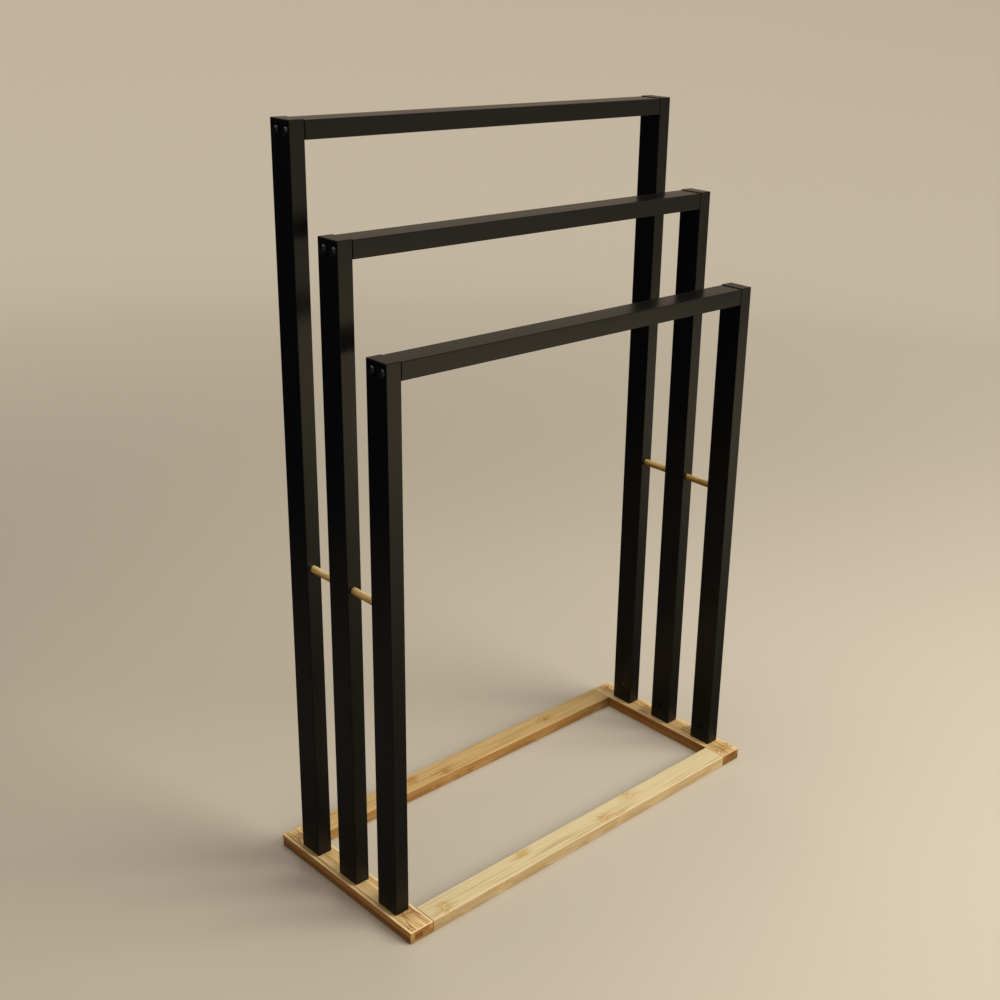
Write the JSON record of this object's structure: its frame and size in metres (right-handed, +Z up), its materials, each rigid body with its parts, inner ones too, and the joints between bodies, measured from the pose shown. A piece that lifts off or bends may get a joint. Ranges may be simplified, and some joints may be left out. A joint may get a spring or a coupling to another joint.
{
  "type": "towel rack",
  "caption": "Free-standing towel rack: black upside-down U frames in rising steps, tied by short dowels, on a flat bamboo base frame.",
  "frame": {"origin": "middle of the base's underside, on the floor", "axes": "+X along the bars, from the left legs to the right legs; +Y from the lowest frame at the front to the tallest at the back; +Z up"},
  "size_m": [0.644, 0.282, 0.98],
  "materials": {
    "frame_black": "satin black lacquer on solid bamboo",
    "base_bamboo": "clear satin lacquer on laminated bamboo",
    "dowel_bamboo": "sanded, clear satin lacquer",
    "black_steel": "black zinc plate, a little glossy"
  },
  "bodies": {
    "root": {"crossbar_front": "frame_black", "leg_front_left": "frame_black", "crossbar_screw_front_left_1": "black_steel", "crossbar_screw_front_left_2": "black_steel", "barrel_nut_front_left": "black_steel", "base_bolt_front_left": "black_steel", "leg_front_right": "frame_black", "crossbar_screw_front_right_1": "black_steel", "crossbar_screw_front_right_2": "black_steel", "barrel_nut_front_right": "black_steel", "base_bolt_front_right": "black_steel", "crossbar_middle": "frame_black", "leg_middle_left": "frame_black", "crossbar_screw_middle_left_1": "black_steel", "crossbar_screw_middle_left_2": "black_steel", "barrel_nut_middle_left": "black_steel", "base_bolt_middle_left": "black_steel", "leg_middle_right": "frame_black", "crossbar_screw_middle_right_1": "black_steel", "crossbar_screw_middle_right_2": "black_steel", "barrel_nut_middle_right": "black_steel", "base_bolt_middle_right": "black_steel", "crossbar_back": "frame_black", "leg_back_left": "frame_black", "crossbar_screw_back_left_1": "black_steel", "crossbar_screw_back_left_2": "black_steel", "barrel_nut_back_left": "black_steel", "base_bolt_back_left": "black_steel", "leg_back_right": "frame_black", "crossbar_screw_back_right_1": "black_steel", "crossbar_screw_back_right_2": "black_steel", "barrel_nut_back_right": "black_steel", "base_bolt_back_right": "black_steel", "spindle_front_left": "dowel_bamboo", "spindle_front_right": "dowel_bamboo", "spindle_back_left": "dowel_bamboo", "spindle_back_right": "dowel_bamboo", "base_end_rail_left": "base_bamboo", "base_end_rail_right": "base_bamboo", "base_long_rail_front": "base_bamboo", "base_pin_front_left_1": "dowel_bamboo", "base_pin_front_left_2": "dowel_bamboo", "base_pin_front_right_1": "dowel_bamboo", "base_pin_front_right_2": "dowel_bamboo", "base_long_rail_back": "base_bamboo", "base_pin_back_left_1": "dowel_bamboo", "base_pin_back_left_2": "dowel_bamboo", "base_pin_back_right_1": "dowel_bamboo", "base_pin_back_right_2": "dowel_bamboo"}
  },
  "joints": []
}
